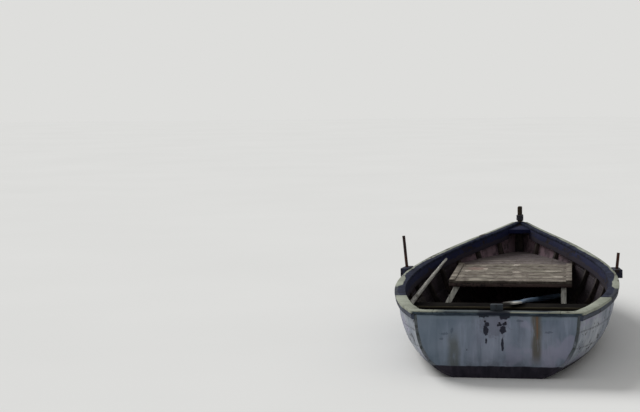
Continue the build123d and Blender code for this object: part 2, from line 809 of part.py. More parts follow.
with BuildPart() as oars:
    end_y = OAR_END - MIDSHIP
    end = (reach_at(planking(end_y, OAR_GRIP - OAR_SUNK), OAR_LOW), end_y, OAR_LOW)
    rest = (OAR_X, THWART_ALONG + THWART_WIDE - MIDSHIP, THWART_TOP + OAR_RIDGE + REST_GAP)
    run, face = lying(end, rest)
    neck = OAR_LONG - OAR_BLADE
    with BuildSketch(face) as profile:
        with BuildLine():
            Polyline(
                (0, 0),
                (0, OAR_GRIP),
                (OAR_GRIP_LONG, OAR_GRIP),
                (OAR_GRIP_LONG + OAR_SHOULDER, OAR_LOOM),
                (neck / 2, OAR_LOOM),
                (neck, OAR_NECK),
                (neck + OAR_BLADE / 2, OAR_BLADE_THICK / 2),
                (neck + OAR_BLADE / 2, 0),
                close=True,
            )
        make_face()
    revolve(profile.sketch, axis=Axis(end, run))
    with BuildSketch(face.offset(-OAR_BLADE_THICK / 2)) as blade:
        with BuildLine():
            Polyline(
                (neck, -OAR_NECK),
                (neck + OAR_BLADE / 2, -OAR_BLADE_HALF),
                (OAR_LONG, -OAR_BLADE_HALF),
                (OAR_LONG, OAR_BLADE_HALF),
                (neck + OAR_BLADE / 2, OAR_BLADE_HALF),
                (neck, OAR_NECK),
                close=True,
            )
        make_face()
        fillet(vertices().sort_by_distance((OAR_LONG, 0))[:2], OAR_TIP_ROUND)
    extrude(blade.sketch, amount=OAR_BLADE_THICK)
finish(oars, "oars")

with BuildPart() as pole:
    end_y = POLE_END - MIDSHIP
    end_z = sheer_at(end_y) - POLE_UNDER_CAP
    inwale_face = reach_at(frame_faces(end_y)[1], end_z) - RAIL_FIT - INWALE_THICK
    end = (POLE_TIP + POLE_GAP - inwale_face, end_y, end_z)
    run, face = lying(end, (-POLE_X, THWART_ALONG - MIDSHIP, THWART_TOP + POLE_BUTT + REST_GAP))
    with BuildSketch(face) as profile:
        with BuildLine():
            Polyline((0, 0), (0, POLE_TIP), (POLE_LONG, POLE_BUTT), (POLE_LONG, 0), close=True)
        make_face()
    revolve(profile.sketch, axis=Axis(end, run))
finish(pole, "pole")
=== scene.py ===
# %% [markdown]
# # A small old rowing boat, afloat
#
# The boat is carvel-planked and has a flat transom stern. It is painted pale blue-grey outside and dark
# below a ragged line just over its waterline, and it has not been painted for years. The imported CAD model
# gives every timber its size and place. This script gives the timbers fair curves, softened edges, paint,
# wood and the small fastenings.

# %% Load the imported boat
from functools import partial
from math import cos, hypot, pi, radians, sin, tan

import bmesh
import bpy
from mathutils import Matrix, Vector, noise
from mathutils.geometry import interpolate_bezier


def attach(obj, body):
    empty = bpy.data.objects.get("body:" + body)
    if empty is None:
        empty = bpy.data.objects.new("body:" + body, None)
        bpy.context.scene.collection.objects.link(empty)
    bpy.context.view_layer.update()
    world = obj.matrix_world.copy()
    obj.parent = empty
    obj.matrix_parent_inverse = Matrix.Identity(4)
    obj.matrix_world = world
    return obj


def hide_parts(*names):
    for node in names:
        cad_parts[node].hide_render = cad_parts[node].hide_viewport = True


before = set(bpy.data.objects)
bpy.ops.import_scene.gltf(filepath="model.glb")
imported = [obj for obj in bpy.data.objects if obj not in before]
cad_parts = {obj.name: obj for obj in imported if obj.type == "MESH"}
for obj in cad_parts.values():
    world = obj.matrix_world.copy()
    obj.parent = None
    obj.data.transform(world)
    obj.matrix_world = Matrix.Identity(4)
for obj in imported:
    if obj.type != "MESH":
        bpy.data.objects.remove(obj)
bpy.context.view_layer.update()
print("CAD nodes:", len(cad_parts))

# %% [markdown]
# The boat's own measures come next, in metres. +Y is the bow, +X is starboard and the waterline lies at
# height 0.

# %% Measures
STATION_PITCH = 0.35  # from one sawn frame to the next
FRAME_MIDDLE = 0.015  # forward of a frame's station
STERN_Y = -2.1  # top of the transom
TRANSOM_RAKE = radians(8)
TRANSOM_TOP = 0.415
SIDES = (1, -1)
UP = Vector((0, 0, 1))
MM = 0.001
WELD = 0.01 * MM

# %% [markdown]
# ## The camera
#
# The photograph looks down on the boat from astern and a little to starboard. The horizon's height gives
# the tilt, and the transom's width and the bow's place over it give the distance and the heading. The
# lens is a long one.

# %% Camera
CAMERA_PLACE = Vector((0.4753, -11.4717, 1.9))
CAMERA_PITCH = radians(4.81)
CAMERA_HEADING = radians(9.549)
CAMERA_ROLL = radians(0.8)  # the boat heels a little to port in the picture
LENS_MM, SENSOR_MM = 84.375, 36
FAR_LIMIT = 300  # nothing beyond it is drawn

lens = bpy.data.cameras.new("camera")
lens.lens = LENS_MM
lens.sensor_width = SENSOR_MM
lens.clip_end = FAR_LIMIT
camera = bpy.data.objects.new("camera", lens)
camera.location = CAMERA_PLACE
camera.rotation_euler = (pi / 2 - CAMERA_PITCH, CAMERA_ROLL, CAMERA_HEADING)
bpy.context.scene.collection.objects.link(camera)
bpy.context.scene.camera = camera
bpy.context.scene.view_settings.view_transform = "Standard"
print("camera to amidships:", round(CAMERA_PLACE.length, 2), "m")

# %% [markdown]
# ## Shader sums as plain sums
#
# A finish is mostly arithmetic on the place of a point: waves of noise, limits and masks. Wiring Math
# nodes by hand hides that, so one small class holds a socket and turns plus, minus, times and the like
# into Math nodes.


# %% A wire between shader nodes
class Wire:
    """One output socket. Sums and products of wires and numbers add Math nodes."""

    def __init__(self, socket):
        self.socket = socket

    def node(self, kind, settings=None, sockets=None, output=0):
        """Any other node: its settings are set first, then the values or links of its sockets."""
        made = self.socket.id_data.nodes.new(kind)
        for name, value in (settings or {}).items():
            setattr(made, name, value)
        for name, value in (sockets or {}).items():
            plug(made.inputs[name], value)
        return Wire(made.outputs[output])

    def math(self, operation, *values):
        return self.node("ShaderNodeMath", {"operation": operation}, dict(enumerate(values)))

    def __add__(self, other):
        return self.math("ADD", self, other)

    def __sub__(self, other):
        return self.math("SUBTRACT", self, other)

    def __rsub__(self, other):
        return self.math("SUBTRACT", other, self)

    def __mul__(self, other):
        return self.math("MULTIPLY", self, other)

    def __truediv__(self, other):
        return self.math("DIVIDE", self, other)

    def __pow__(self, other):
        return self.math("POWER", self, other)

    __radd__, __rmul__ = __add__, __mul__

    def size(self):
        return self.math("ABSOLUTE", self)

    def root(self):
        return self.math("SQRT", self)

    def fraction(self):
        return self.math("FRACT", self)

    def either(self, other):
        return self.math("MAXIMUM", self, other)

    def rise(self, low, high):
        """A soft step: 0 below low, 1 above high."""
        sockets = {"Value": self, "From Min": low, "From Max": high}
        return self.node("ShaderNodeMapRange", {"interpolation_type": "SMOOTHSTEP"}, sockets)

    def fall(self, low, high):
        """A soft step down: 1 below low, 0 above high."""
        return 1 - self.rise(low, high)

    def axes(self):
        """The x, y and z of a place."""
        split = self.socket.id_data.nodes.new("ShaderNodeSeparateXYZ")
        plug(split.inputs[0], self)
        return [Wire(output) for output in split.outputs]

    def stretched(self, x, y, z):
        """A place on a pattern scaled by x, y and z."""
        return self.node("ShaderNodeMapping", {}, {"Vector": self, "Scale": (x, y, z)})

    def noise(self, scale=1, detail=4, rough=0.55, swirl=0):
        """A noise pattern whose values gather round 0.5."""
        grain = {"Scale": scale, "Detail": detail, "Roughness": rough, "Distortion": swirl}
        return self.node("ShaderNodeTexNoise", {}, {"Vector": self, **grain})


def plug(socket, value):
    """Links a wire to a socket, or sets the socket to a plain value."""
    if isinstance(value, Wire):
        socket.id_data.links.new(value.socket, socket)
    elif socket.type == "RGBA" and len(value) == 3:
        socket.default_value = (*value, 1)
    else:
        socket.default_value = value


# %% [markdown]
# ## A finish
#
# Colours are easiest to judge as a picture editor shows them, so they are written that way and turned
# into linear light. They go through Mix nodes, because a Math node would turn them grey. Every finish is
# then one function of the place: it returns a colour, a roughness and a relief in millimetres, which goes
# through a Bump node. The gloss is the same all over a timber, so it is a plain value.


# %% Colours
def linear(shade):
    """A shade from 0 to 255 as linear light."""
    share = shade / 255
    return ((share + 0.055) / 1.055) ** 2.4 if shade > 10 else share / 12.92


def rgb(red, green, blue):
    """A colour written as a picture editor shows it."""
    return linear(red), linear(green), linear(blue)


def mixed(share, first, second):
    """The first colour where the share is 0 and the second where it is 1."""
    made = share.socket.id_data.nodes.new("ShaderNodeMix")
    made.data_type = "RGBA"
    plug(made.inputs[0], share)
    plug(made.inputs[6], first)
    plug(made.inputs[7], second)
    return Wire(made.outputs[2])


def shaded(colour, share):
    """A lighter or darker tone of a colour."""
    return tuple(min(channel * share, 0.9) for channel in colour)


# %% Make a finish
def finish(name, paint, gloss):
    """A material from paint(place), which returns colour, roughness and relief in millimetres."""
    made = bpy.data.materials.new(name)
    made.use_nodes = True
    shader = made.node_tree.nodes["Principled BSDF"]
    shader.inputs["Specular IOR Level"].default_value = gloss
    place = Wire(made.node_tree.nodes.new("ShaderNodeTexCoord").outputs["Object"])
    colour, roughness, relief = paint(place)
    plug(shader.inputs["Base Color"], colour)
    plug(shader.inputs["Roughness"], roughness)
    bump = place.node("ShaderNodeBump", {}, {"Height": relief, "Distance": MM})
    plug(shader.inputs["Normal"], bump)
    print("finish:", name, "with", len(made.node_tree.nodes), "nodes")
    return made


finishes = {}

# %% [markdown]
# ### Bare wood
#
# Old bare wood is pale where rain reaches it and dark in its cracks. The grain is noise drawn out about
# twenty times along the board, and the cracks are the thin lines where a second, finer noise passes its
# middle value.

# %% Wood
ALONG_X, ALONG_Y, ALONG_Z = (1, 22, 22), (22, 1, 22), (22, 22, 1)


def wood(place, grain, pale, dark, dirt, dirty):
    """Weathered timber whose grain runs along one axis."""
    along = place.stretched(*grain)
    fibre = along.noise(7, 6, 0.65, 0.3)
    broad = along.noise(1.6, 3, 0.5, 0.6)
    crack = (along.noise(3.1, 4, 0.6) - 0.5).size().fall(0.004, 0.022)
    stain = place.noise(4.5, 5, 0.6)
    tone = (fibre * 0.6 + broad * 0.4).rise(0.33, 0.66)
    colour = mixed(tone, dark, pale)
    colour = mixed(stain.rise(0.62 - 0.25 * dirty, 0.8 - 0.2 * dirty) * 0.75, colour, dirt)
    colour = mixed(crack * 0.7, colour, dirt)
    relief = fibre * 0.8 - crack * 1.3 + stain * 0.4
    return colour, 0.88 - tone * 0.12, relief


# %% [markdown]
# ### Old paint
#
# Old paint chalks, holds rain streaks and lets go in flakes. The flakes are a noise passed through a
# steep step. Round them runs a rim of darker, lifting paint, and inside lies bare timber, a third of a
# millimetre lower.


# %% Paint
FLAKE_SCALE = 9


def flakes(place, grain, share):
    """Masks of where paint has come off, more of it as the share grows, and of the rim round it."""
    drawn = place.stretched(*grain)
    broad, fine = drawn.noise(FLAKE_SCALE * 0.45, 5, 0.62, 0.4), place.noise(FLAKE_SCALE * 4.5, 4, 0.7)
    patch = broad * 0.6 + fine * 0.4
    edge = 0.66 - share * 0.2
    return patch.rise(edge - 0.008, edge + 0.008), patch.rise(edge - 0.045, edge - 0.01)


def painted(place, colour, chalk, under, share, grain=(2, 1, 2), streak=0.5):
    """Chalky paint with rain streaks and flaked patches."""
    bare, rim = flakes(place, grain, share)
    drips = place.stretched(26, 26, 1.3).noise(1, 4, 0.55)
    cloud = place.noise(3.3, 4, 0.5)
    tone = mixed(cloud.rise(0.3, 0.72), colour, chalk)
    tone = mixed(drips.rise(0.5, 0.74) * streak, tone, shaded(colour, 0.55))
    tone = mixed(drips.fall(0.3, 0.46) * streak * 0.5, tone, shaded(chalk, 1.5))
    tone = mixed(rim * (1 - bare) * 0.35, tone, shaded(colour, 0.6))
    fibre = place.stretched(3, 1, 3).noise(38, 4, 0.6)
    timber = mixed(fibre.rise(0.35, 0.65), shaded(under, 0.6), under)
    relief = 0.35 * (1 - bare) + fibre * 0.22 + drips * 0.1
    return mixed(bare, tone, timber), 0.62 + cloud * 0.15 + bare * 0.16, relief


# %% [markdown]
# ### The boot line
#
# Bottom paint is dark and goes a hand's breadth above the waterline. Its edge was cut in by hand, so a
# noise along the boat makes it waver. Slime grows on it, and a dirty tide mark has climbed the pale paint
# above.

# %% Topside paint over bottom paint
HULL_PALE, HULL_CHALK, HULL_UNDER = rgb(110, 119, 131), rgb(166, 170, 177), rgb(62, 58, 58)
BOTTOM_DARK, BOTTOM_DULL = rgb(28, 26, 36), rgb(48, 44, 54)
GRIME = rgb(24, 21, 21)
BOOT_TOP = 0.079  # where the pale paint ends above the waterline
BOOT_RAG = 0.004  # how far that edge wavers


def boot_line(place):
    """Mask of the bottom paint, whose edge wavers along the boat."""
    x, y, z = place.axes()
    waver = place.stretched(5, 5, 1).noise(2, 5, 0.65)
    return (z + (waver - 0.5) * BOOT_RAG * 4).fall(BOOT_TOP - 0.003, BOOT_TOP + 0.004)


def hull_paint(place, share, streak, pale=HULL_PALE, chalk=HULL_CHALK):
    """Topside paint over bottom paint, with a dirty tide mark between them."""
    x, y, z = place.axes()
    colour, roughness, relief = painted(place, pale, chalk, HULL_UNDER, share, streak=streak)
    slime = place.stretched(9, 9, 3).noise(3, 5, 0.65)
    bottom = mixed(slime.rise(0.35, 0.68), BOTTOM_DARK, BOTTOM_DULL)
    tide = z.fall(BOOT_TOP, BOOT_TOP + 0.1) * place.noise(14, 4, 0.6).rise(0.35, 0.7)
    colour = mixed(tide * 0.4, colour, GRIME)
    below = boot_line(place)
    return mixed(below, colour, bottom), roughness + below * 0.08, relief + slime * 0.35 * below


# %% [markdown]
# ### The planking's paint
#
# On a plank the wear follows the seams and the nails, and both curve with it. Object coordinates know
# nothing of that, so every plank carries its own measure across on its points, 0 at the lower edge and 1
# at the upper. The shader reads it from an Attribute node.

# %% Paint of the planks
HULL_LILAC, RUST, END_DARK = rgb(144, 141, 163), rgb(78, 58, 46), rgb(36, 46, 44)
PLANK_WIDTH = 0.11
NAIL_ROW = 0.26  # from a plank's middle, as a share of its width


def across_plank(place):
    """The measure across that a plank or a rail carries on its points."""
    return place.node("ShaderNodeAttribute", {"attribute_name": "across"}, output=2)


def strake_paint(place):
    """Hull paint with worn seams, rusty nails, lilac patches and dark ends at the transom."""
    across = across_plank(place)
    seam = (across - 0.5).size().rise(0.40, 0.5)
    colour, roughness, relief = hull_paint(place, 0.42, 0.5)
    worn = seam * place.stretched(1, 6, 1).noise(9, 5, 0.7).rise(0.42, 0.6)
    x, y, z = place.axes()
    bay = ((y - STERN_Y - FRAME_MIDDLE) / STATION_PITCH + 0.5).fraction() - 0.5
    row = (across - 0.5).size() - NAIL_ROW
    nail = ((bay * STATION_PITCH) ** 2 + (row * PLANK_WIDTH) ** 2).root()
    rust = nail.fall(0.004, 0.016) * place.noise(6, 2).rise(0.42, 0.6)
    ending = y - STERN_Y - (TRANSOM_TOP - z) * tan(TRANSOM_RAKE)
    dark_end = ending.fall(0.004, 0.026) * place.noise(24, 4, 0.6).rise(0.2, 0.45) * z.rise(0.02, 0.22)
    lilac = place.stretched(1, 0.6, 1.6).noise(5.5, 5, 0.65, 0.6).rise(0.5, 0.62)
    colour = mixed(lilac * 0.6 * (1 - boot_line(place)), colour, HULL_LILAC)
    colour = mixed(worn * 0.7, colour, HULL_UNDER)
    colour = mixed(rust * 0.6, colour, RUST)
    colour = mixed(dark_end * 0.8, colour, END_DARK)
    return colour, roughness, relief - worn * 0.4


finishes["strake"] = finish("strake_paint", strake_paint, 0.25)

# %% [markdown]
# ### The transom's marks
#
# The transom's paint is darker than the planking's, partly as painted shade, and hangs in upright
# streaks, more teal to port and more lilac to starboard. A brown run of rust comes down to starboard of
# the middle and a faint olive one to port. In the middle a bracket once sat, and its screws have worn two
# columns of dark spots. Such marks follow no rule, so each is one row of a short table, and noise makes it
# ragged. A band of painted shade lies under the cap.

# %% Spots and runs
WORN_SPOTS = (  # middle across, middle up, half width, half height, all on the transom's face
    (-0.068, 0.312, 0.018, 0.036),
    (-0.060, 0.352, 0.016, 0.016),
    (0.040, 0.318, 0.022, 0.028),
    (0.024, 0.350, 0.012, 0.010),
    (0.050, 0.356, 0.016, 0.010),
    (0.036, 0.220, 0.009, 0.050),
    (-0.066, 0.245, 0.007, 0.020),
    (-0.080, 0.412, 0.032, 0.020),
    (0.054, 0.408, 0.038, 0.026),
    (0.010, 0.348, 0.008, 0.008),
)
FAINT_MARKS = (  # measured the same way: knocks that only dulled the paint
    (-0.330, 0.287, 0.024, 0.010),
    (-0.284, 0.306, 0.010, 0.026),
    (-0.352, 0.252, 0.016, 0.008),
    (0.322, 0.305, 0.026, 0.008),
    (0.140, 0.378, 0.030, 0.007),
)
BRACKET_PAD = (-0.015, 0.35, 0.095, 0.08)


def blot(place, x0, z0, half_x, half_z, rag=0.5, flat=False):
    """A ragged spot on an upright face, or on a flat one, where y stands for z."""
    x, y, z = place.axes()
    up = y if flat else z
    reach = (((x - x0) / half_x) ** 2 + ((up - z0) / half_z) ** 2).root()
    ragged = reach + (place.noise(55, 4, 0.6) - 0.5) * 2.4 * rag + max(rag - 1, 0) * 0.3
    return ragged.fall(0.8, 1.05)


def blots(place, table, **settings):
    """All the spots of a table in one mask."""
    mask = blot(place, *table[0], **settings)
    for spot in table[1:]:
        mask = mask.either(blot(place, *spot, **settings))
    return mask


def run(place, x0, half, top, foot, fade_top=0.0):
    """A stain that runs straight down from a fastening, wandering a little."""
    x, y, z = place.axes()
    wander = (place.stretched(1, 1, 5).noise(1.4, 3) - 0.5) * half * 0.9
    across = (x - x0 + wander).size().fall(half * 0.35, half * 1.25)
    fade = z.rise(foot, foot + 0.12) * z.fall(top - fade_top, top + 0.02)
    return across * fade * place.stretched(60, 60, 4).noise(1, 4, 0.6).rise(0.2, 0.5)


# %% Transom paint
# The transom's paint and chalk are darker than the planking's, partly as painted shade.
STERN_PAINT_SHADED, STERN_CHALK_SHADED = rgb(102, 113, 129), rgb(134, 141, 157)
STERN_TEAL, STERN_LILAC = rgb(78, 96, 108), rgb(146, 143, 164)
EDGE_PALE, PAINTED_CAP_SHADE = rgb(118, 134, 142), rgb(30, 42, 52)
RUST_RUN, RUST_CORE, OLIVE_RUN = rgb(87, 83, 74), rgb(116, 80, 50), rgb(80, 82, 74)
PAD_DULL, MARK_DULL, WORN_DARK = rgb(94, 94, 108), rgb(48, 56, 70), rgb(20, 21, 36)
RUST_RUN_X, OLIVE_RUN_X = 0.249, -0.272


def transom_paint(place):
    """Hull paint in teal and lilac streaks, with runs, the bracket's marks and shade under the cap."""
    colour, roughness, relief = hull_paint(place, -0.3, 0.45, STERN_PAINT_SHADED, STERN_CHALK_SHADED)
    x, y, z = place.axes()
    above = 1 - boot_line(place)
    broad = place.stretched(7, 7, 0.9).noise(1, 4, 0.6)
    patch = place.stretched(1, 1, 0.8).noise(9, 3, 0.5)
    teal = (broad.rise(0.5, 0.68) * 0.45).either(x.fall(-0.5, 0.0) * 0.5)
    colour = mixed(teal * above, colour, STERN_TEAL)
    colour = mixed(patch.rise(0.5, 0.62) * x.rise(-0.3, 0.3) * above * 0.45, colour, STERN_LILAC)
    colour = mixed(z.rise(0.375, 0.392) * z.fall(0.404, 0.41) * above * 0.3, colour, EDGE_PALE)
    rust = run(place, RUST_RUN_X, 0.036, 0.43, 0.05) * above
    core = run(place, RUST_RUN_X + 0.004, 0.006, 0.40, 0.20) * above
    olive = run(place, OLIVE_RUN_X, 0.042, 0.31, -0.06, 0.1) * above
    colour = mixed(rust * 0.9, colour, RUST_RUN)
    colour = mixed(core * 0.6, colour, RUST_CORE)
    colour = mixed(olive * 0.65, colour, OLIVE_RUN)
    colour = mixed(blot(place, *BRACKET_PAD, 0.8) * 0.45, colour, PAD_DULL)
    colour = mixed(blots(place, FAINT_MARKS, rag=1.1) * 0.4, colour, MARK_DULL)
    worn = blots(place, WORN_SPOTS)
    colour = mixed(worn * 0.94, colour, WORN_DARK)
    wave = place.stretched(7, 7, 1).noise(1.5, 3) * 0.014
    # A wavy band of painted shade under the cap's overhang.
    colour = mixed((z + wave).rise(0.408, 0.418) * 0.85, colour, PAINTED_CAP_SHADE)
    return colour, roughness, relief - worn * 1.5


finishes["transom"] = finish("transom_paint", transom_paint, 0.2)

# %% [markdown]
# ### The caps
#
# The caps keep their pale paint only where nobody's hands or ropes rub: along the outer edge, and over
# the whole of the quarters. The gunwale caps carry a measure across, so the line between pale and dark
# can follow their curve. The transom's cap is straight, and there plain limits on the place are enough.

# %% Paint of the gunwale caps
CAP_PALE, CAP_CHALK = rgb(124, 127, 114), rgb(156, 160, 146)
CAP_DARK, CAP_DULL = rgb(18, 22, 40), rgb(38, 44, 64)
OLD_BROWN, OLD_DARK = rgb(66, 57, 52), rgb(40, 34, 34)
QUARTER_END = -1.3  # the quarters' pale paint runs this far forward


def cap_paint(place):
    """Pale in the outer half and dark in the inner one. The measure across is 0 outboard and 1 inboard."""
    x, y, z = place.axes()
    rag = place.stretched(1, 0.35, 1).noise(16, 5, 0.65)
    edge = 0.41 + y.rise(0.2, 1.0) * 0.12 - y.rise(1.0, 2.0) * 0.06 + (rag - 0.5) * 0.16
    edge = edge + y.rise(-0.84, -0.72) * y.fall(-0.55, -0.2) * 0.16
    outer = (across_plank(place) - edge).fall(-0.01, 0.015)
    quarter = (y + (rag - 0.5) * 0.02).fall(QUARTER_END, QUARTER_END + 0.006)
    marked = y.fall(-0.88, -0.78) * rag.rise(0.24, 0.38) * (1 - quarter)
    colour, roughness, relief = painted(place, CAP_PALE, CAP_CHALK, OLD_BROWN, 0.4, streak=0.15)
    dark = mixed(place.noise(22, 5, 0.6).rise(0.4, 0.65), CAP_DARK, CAP_DULL)
    worn = (1 - outer.either(quarter)).either(marked * 0.9)
    return mixed(worn, colour, dark), roughness + worn * 0.2, relief - worn * 0.3


finishes["cap"] = finish("cap_paint", cap_paint, 0.12)

# %% Paint of the transom's cap
STERN_CAP, STERN_CAP_DULL, BRACKET_DARK = rgb(34, 44, 54), rgb(66, 78, 86), rgb(22, 22, 34)
CAP_RISE, CAP_SLOPE = 0.435, -0.0229  # the caps' top at the transom, and its rise per metre forward


def stern_cap_paint(place):
    """Pale on the quarters and along the after corner, dull between, dark where a bracket sat."""
    colour, roughness, relief = painted(
        place, CAP_PALE, CAP_CHALK, OLD_BROWN, 0.4, grain=(1, 2, 2), streak=0.1
    )
    x, y, z = place.axes()
    rag = place.noise(30, 4, 0.6)
    drawn = place.stretched(0.3, 1, 1).noise(30, 4, 0.6)
    top = CAP_RISE + (y - STERN_Y) * CAP_SLOPE
    face = (top - z).rise(0.004, 0.007) * y.fall(STERN_Y, STERN_Y + 0.02)
    middle = (x + 0.015 + (rag - 0.5) * 0.06).size().fall(0.09, 0.11)
    kept = (y + (drawn - 0.5) * 0.03).fall(STERN_Y - 0.004, STERN_Y + 0.004) * x.rise(-0.06, 0.1)
    between = x.size().fall(0.30, 0.43) * (1 - kept)
    dull = mixed(drawn.rise(0.35, 0.65), STERN_CAP, STERN_CAP_DULL)
    worn = face.either(middle * 0.9).either(between * 0.85)
    colour = mixed(worn, colour, dull)
    return mixed(middle * 0.7, colour, BRACKET_DARK), roughness + worn * 0.15, relief - middle * 0.8


finishes["stern_cap"] = finish("stern_cap_paint", stern_cap_paint, 0.12)

# %% [markdown]
# ### Inside the boat
#
# The inwales were indigo and are worn to brown wood at their foot, where gear leans. The planking's inner
# side is all but bare, with more of its old purple-brown paint left in the bow, which few feet reach; that
# paler tone is also painted light that lifts the bow's shade. The thwart is dark, partly as painted shade,
# and legs have rubbed its after edge.

# %% Paint and wood of the inside
INDIGO, INDIGO_DULL = rgb(14, 18, 48), rgb(28, 32, 60)
SKIN_BROWN, SKIN_DARK, BOW_PAINT_AND_LIGHT = rgb(66, 55, 60), rgb(42, 36, 42), rgb(146, 122, 130)
# The thwart's dark tones are partly painted shade.
THWART_SHADED_DARK, THWART_SHADED_DULL, THWART_BARE = rgb(22, 21, 21), rgb(34, 32, 30), rgb(74, 69, 56)
THWART_AFT, THWART_TOP = -0.7, 0.245


def inside_paint(place):
    """Indigo over brown wood. The measure across is 0 at the top."""
    colour, roughness, relief = painted(
        place, INDIGO, INDIGO_DULL, OLD_DARK, 0.5, grain=(3, 1, 3), streak=0.3
    )
    ragged = (place.stretched(4, 1, 4).noise(7, 4, 0.6) - 0.5) * 0.5
    foot = (across_plank(place) + ragged).rise(0.5, 0.62)
    return mixed(foot * 0.85, colour, SKIN_DARK), roughness + 0.15, relief - foot * 0.3


def inner_skin(place):
    """Brown wood, with patches of old paint forward that are also painted light on the bow's shade."""
    colour, roughness, relief = wood(place, ALONG_Y, SKIN_BROWN, SKIN_DARK, GRIME, dirty=0.7)
    x, y, z = place.axes()
    # Paler patches towards the bow: old paint, and also painted light that lifts the bow's shade.
    bow_paint_and_light = y.rise(0.8, 1.6) * place.noise(9, 4, 0.6).rise(0.3, 0.6)
    return mixed(bow_paint_and_light * 0.75, colour, BOW_PAINT_AND_LIGHT), roughness, relief


def thwart_paint(place):
    """Dark worn paint, partly painted shade, gone along the after edge."""
    colour, roughness, relief = painted(
        place, THWART_SHADED_DARK, THWART_SHADED_DULL, OLD_DARK, 0.3, grain=(1, 3, 3), streak=0.1
    )
    x, y, z = place.axes()
    rag = place.stretched(0.4, 1, 1).noise(40, 4, 0.6) - 0.5
    after = (y - THWART_AFT + rag * 0.05).fall(0.006, 0.016)
    upper = (z + rag * 0.01).rise(THWART_TOP - 0.009, THWART_TOP - 0.002)
    return mixed(after * upper * 0.8, colour, THWART_BARE), roughness + 0.15, relief


finishes["inside"] = finish("inside_paint", inside_paint, 0.12)
finishes["skin"] = finish("inner_skin", inner_skin, 0.15)
finishes["thwart"] = finish("thwart_paint", thwart_paint, 0.0)

# %% [markdown]
# ### The decks
#
# The decks lost their paint to feet. Their boards lie athwart, and each is its own solid in one node, so
# the seam beside a neighbour is found by a sum on the place along the boat: the remainder of a division
# by the pitch. The same sum gives each board its own tint.

# %% Boards laid athwart
DECK_CHALK, DECK_OLIVE, DECK_DIRT = rgb(172, 165, 151), rgb(114, 111, 96), rgb(54, 47, 42)


def boards(place, start, pitch, pale, brown, chalk=DECK_CHALK, wide=0.0):
    """Walked-on boards, old paint and dirty seams. Every second one has wide dirt and a painted highlight.
    """
    colour, roughness, relief = wood(place, ALONG_X, pale, brown, DECK_DIRT, dirty=0.3)
    x, y, z = place.axes()
    blotch = place.stretched(1, 0.6, 1).noise(11, 6, 0.68, 0.8)
    cloud = place.stretched(0.7, 0.5, 1).noise(4.5, 3, 0.5)
    scrape = place.stretched(3, 9, 3).noise(2.2, 4, 0.6, 0.4)
    knock = place.stretched(1.6, 0.25, 1).noise(14, 5, 0.7)
    colour = mixed(cloud.rise(0.38, 0.66) * wide * 0.7, colour, DECK_OLIVE)
    colour = mixed(knock.fall(0.36, 0.46) * 0.7, colour, brown)
    colour = mixed(blotch.rise(0.48, 0.66) * 0.6, colour, chalk)
    colour = mixed(blotch.fall(0.34, 0.46) * 0.7, colour, DECK_DIRT)
    colour = mixed(scrape.rise(0.58, 0.68) * 0.6, colour, chalk)
    each = (y - start) / pitch

    def second_seam(aft):
        """0 at every second seam and less away from it, moved aft by a share of the pitch."""
        return (((each + aft) / 2).fraction() - 0.5).size() * 2 * pitch - pitch

    tint = (each - each.fraction()) * 0.37
    colour = mixed(tint.fraction() * 0.3, colour, brown)
    from_seam = (each.fraction() - 0.5).size() * pitch - pitch / 2
    seam = (from_seam + (blotch - 0.5) * 0.02).rise(-0.010, -0.003)
    silt = (second_seam(1) + (blotch - 0.5) * 0.1).rise(-0.04, -0.01) * wide
    # A painted highlight on the board edge beside every second seam.
    lip_highlight = (second_seam(0.82) + (blotch - 0.5) * 0.16).rise(-0.02, -0.006) * wide
    colour = mixed(lip_highlight * 0.8, colour, chalk)
    colour = mixed((seam * 0.6).either(silt * 0.8), colour, DECK_DIRT)
    return colour, roughness, relief + blotch * 0.3 - seam * 0.5


# %% Platform, foredeck and stern seat
DECK_PALE, DECK_BROWN = rgb(136, 129, 118), rgb(98, 88, 80)
SPOT_PALE, PINKISH = rgb(190, 180, 168), rgb(146, 120, 112)
FOREDECK_PALE, FOREDECK_BROWN, FOREDECK_SHADE = rgb(130, 121, 116), rgb(92, 83, 81), rgb(70, 61, 65)
SEAT_PALE, SEAT_BROWN = rgb(126, 120, 110), rgb(86, 80, 74)
PLATFORM_AFT, PLATFORM_PITCH = -0.0415, 0.176  # middle of the aftermost seam, and from seam to seam
FOREDECK_AFT, FOREDECK_PITCH = 1.0145, 0.150
SEAT_AFT, SEAT_PITCH = -1.992, 0.144
PALE_SPOTS = (  # middle across, middle along, half width, half length, on the platform
    (-0.362, 0.560, 0.034, 0.045),
    (0.030, 0.500, 0.036, 0.050),
    (0.310, 0.575, 0.085, 0.030),
    (-0.225, 0.690, 0.022, 0.045),
    (0.010, 0.960, 0.030, 0.050),
    (0.360, 0.230, 0.040, 0.034),
)
PINK_PATCH = (-0.300, 0.700, 0.085, 0.110)  # a pinkish patch at a board's end


def platform_wood(place):
    """Walked-on boards with pale spots and one pinkish patch."""
    colour, roughness, relief = boards(
        place, PLATFORM_AFT, PLATFORM_PITCH, DECK_PALE, DECK_BROWN, wide=0.7
    )
    marked = blots(place, PALE_SPOTS, rag=1.3, flat=True)
    colour = mixed(blot(place, *PINK_PATCH, rag=1.3, flat=True) * 0.5, colour, PINKISH)
    return mixed(marked * 0.7, colour, SPOT_PALE), roughness, relief


def foredeck_wood(place):
    """Browner boards, darkened forward and along the sides as painted shade."""
    colour, roughness, relief = boards(
        place, FOREDECK_AFT, FOREDECK_PITCH, FOREDECK_PALE, FOREDECK_BROWN, chalk=DECK_PALE
    )
    x, y, z = place.axes()
    # Painted shade towards the bow and along the sides, where the bulwarks shade the deck.
    deck_shade = y.rise(1.05, 1.6).either(x.size().rise(0.12, 0.42) * 0.8)
    return mixed(deck_shade * 0.7, colour, FOREDECK_SHADE), roughness, relief


